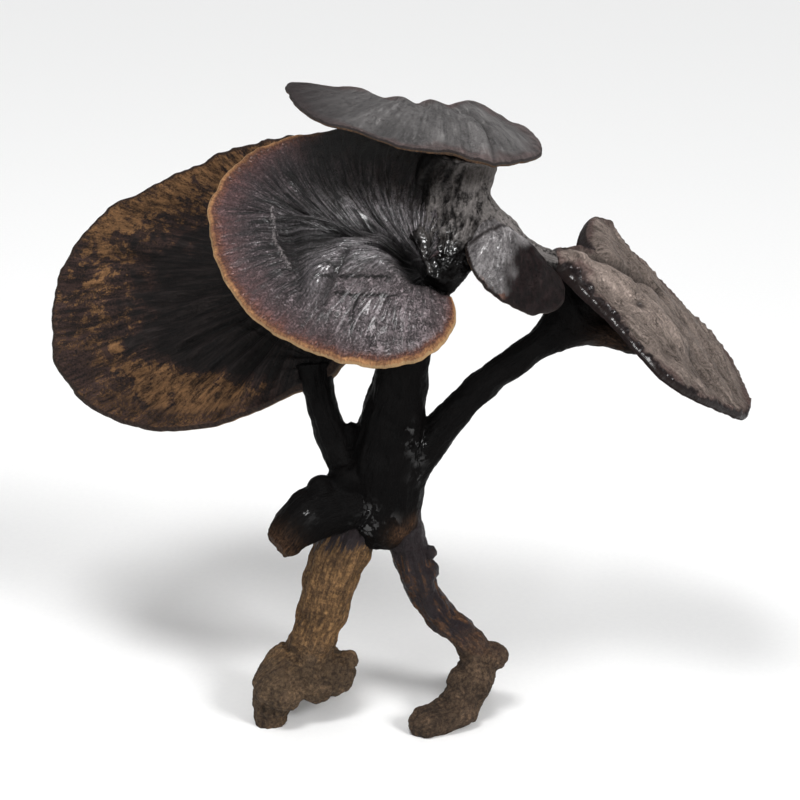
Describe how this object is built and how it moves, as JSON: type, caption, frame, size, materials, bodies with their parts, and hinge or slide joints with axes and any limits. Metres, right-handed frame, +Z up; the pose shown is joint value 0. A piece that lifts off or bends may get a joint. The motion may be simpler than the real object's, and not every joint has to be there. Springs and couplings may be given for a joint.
{
  "type": "reishi mushroom cluster",
  "caption": "Dried reishi mushroom: fan-shaped lacquered caps on forked black stems, standing on its flat-cut root ends.",
  "frame": {"origin": "on the surface that it stands on, under the middle of its bounding box", "axes": "+Z up, +X to the viewer's right along the spread of the caps, -Y to the viewer, the side that the two large caps face"},
  "size_m": [0.2875, 0.1129, 0.265],
  "materials": {
    "black_lacquer": "glossy black crust, ridged along the stem",
    "dark_crust": "satin dark crust with rays and an ochre margin",
    "spored_crust": "matt, dusted with brown spores, dark blotches",
    "grey_crust": "satin grey crust",
    "brown_crust": "matt grey-brown crust, furrowed",
    "earthy_root": "matt earthy bark with black lacquer above"
  },
  "bodies": {
    "root": {"front_cap": "dark_crust", "left_cap": "spored_crust", "top_cap": "grey_crust", "right_cap": "brown_crust", "small_cap": "grey_crust", "main_stem": "black_lacquer", "top_stem": "black_lacquer", "left_stem": "black_lacquer", "right_stem": "black_lacquer", "stem_stub": "black_lacquer", "left_root": "earthy_root", "right_root": "earthy_root"}
  },
  "joints": []
}
